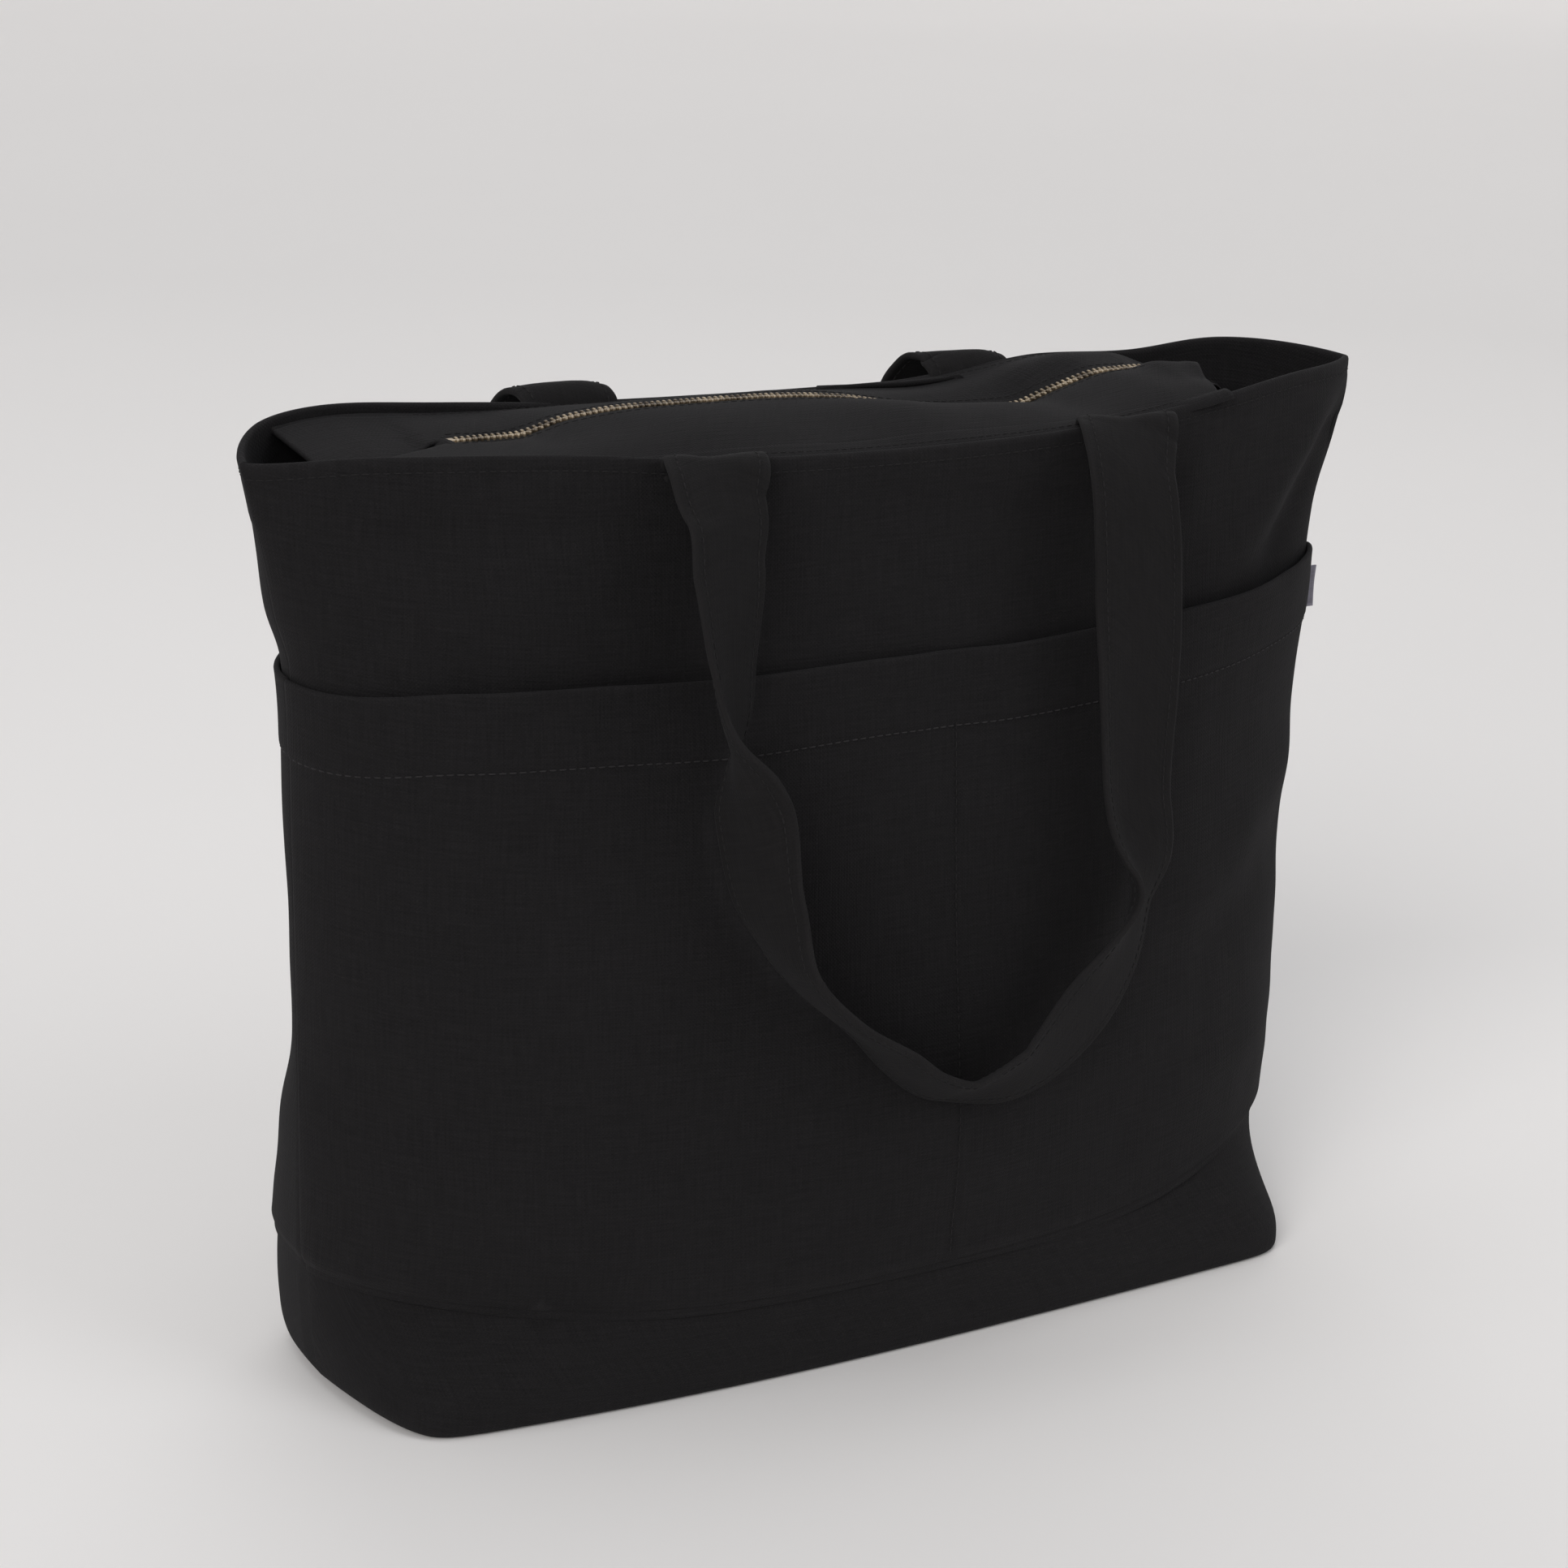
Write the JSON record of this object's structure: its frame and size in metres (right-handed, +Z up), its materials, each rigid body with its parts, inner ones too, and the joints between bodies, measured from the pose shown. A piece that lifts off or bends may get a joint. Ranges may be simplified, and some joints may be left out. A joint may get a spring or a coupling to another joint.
{
  "type": "canvas tote bag",
  "caption": "Zip-top canvas tote bag with a boxed base, outside pockets on both faces and two hanging strap handles.",
  "frame": {"origin": "on the floor, under the middle of the bag's base", "axes": "+X across the bag towards its right side seam seen from the front, -Y is the face with the divided pocket, +Z up"},
  "size_m": [0.506, 0.238, 0.3805],
  "materials": {
    "canvas": "matte plain weave",
    "strap": "matte plain weave, folded and edge stitched",
    "tape": "fine woven tape",
    "label": "satin ribbon",
    "brass": "antique, satin"
  },
  "bodies": {
    "bag": {"base_panel": "canvas", "front_panel": "canvas", "back_panel": "canvas", "front_pocket": "canvas", "back_pocket": "canvas", "left_seam_binding": "tape", "right_seam_binding": "tape", "side_tag": "label", "front_strap_ends": "strap", "rear_strap_ends": "strap", "zip_bottom_stop": "brass", "left_zip_tab": "canvas", "right_zip_tab": "canvas"},
    "front_flap": {"front_zip_facing": "canvas", "front_zip_tape": "tape", "front_zip_teeth": "brass", "front_top_stop": "brass"},
    "rear_flap": {"rear_zip_facing": "canvas", "rear_zip_tape": "tape", "rear_zip_teeth": "brass", "rear_top_stop": "brass"},
    "zip_slider": {"zip_slider": "brass"},
    "zip_puller": {"zip_puller": "brass"},
    "front_handle": {"front_handle": "strap"},
    "rear_handle": {"rear_handle": "strap"}
  },
  "joints": [
    {"name": "zip_slide", "type": "slide", "parent": "bag", "child": "zip_slider", "axis": [-1, 0, 0], "range_m": [0, 0.315]},
    {"name": "puller_swing", "type": "hinge", "parent": "zip_slider", "child": "zip_puller", "pos_m": [0.17, 0.01, 0.3739], "axis": [0, 1, 0], "range_deg": [0, 165]},
    {"name": "front_flap_fold", "type": "hinge", "parent": "bag", "child": "front_flap", "pos_m": [0, -0.043, 0.37095], "axis": [-1, 0, 0], "range_deg": [0, 72], "deforming": ["front_zip_tape", "front_zip_teeth", "front_top_stop"]},
    {"name": "rear_flap_fold", "type": "hinge", "parent": "bag", "child": "rear_flap", "pos_m": [0, 0.043, 0.37095], "axis": [1, 0, 0], "range_deg": [0, 72], "deforming": ["rear_zip_tape", "rear_zip_teeth", "rear_top_stop"]},
    {"name": "front_handle_swing", "type": "hinge", "parent": "bag", "child": "front_handle", "pos_m": [0, -0.0545, 0.378], "axis": [-1, 0, 0], "range_deg": [0, 176]},
    {"name": "rear_handle_swing", "type": "hinge", "parent": "bag", "child": "rear_handle", "pos_m": [0, 0.0545, 0.378], "axis": [1, 0, 0], "range_deg": [0, 176]}
  ],
  "couplings": [
    {"joint": "front_flap_fold", "follows": "zip_slide", "rad_per_m": 3.8785},
    {"joint": "rear_flap_fold", "follows": "zip_slide", "rad_per_m": 3.8785}
  ]
}
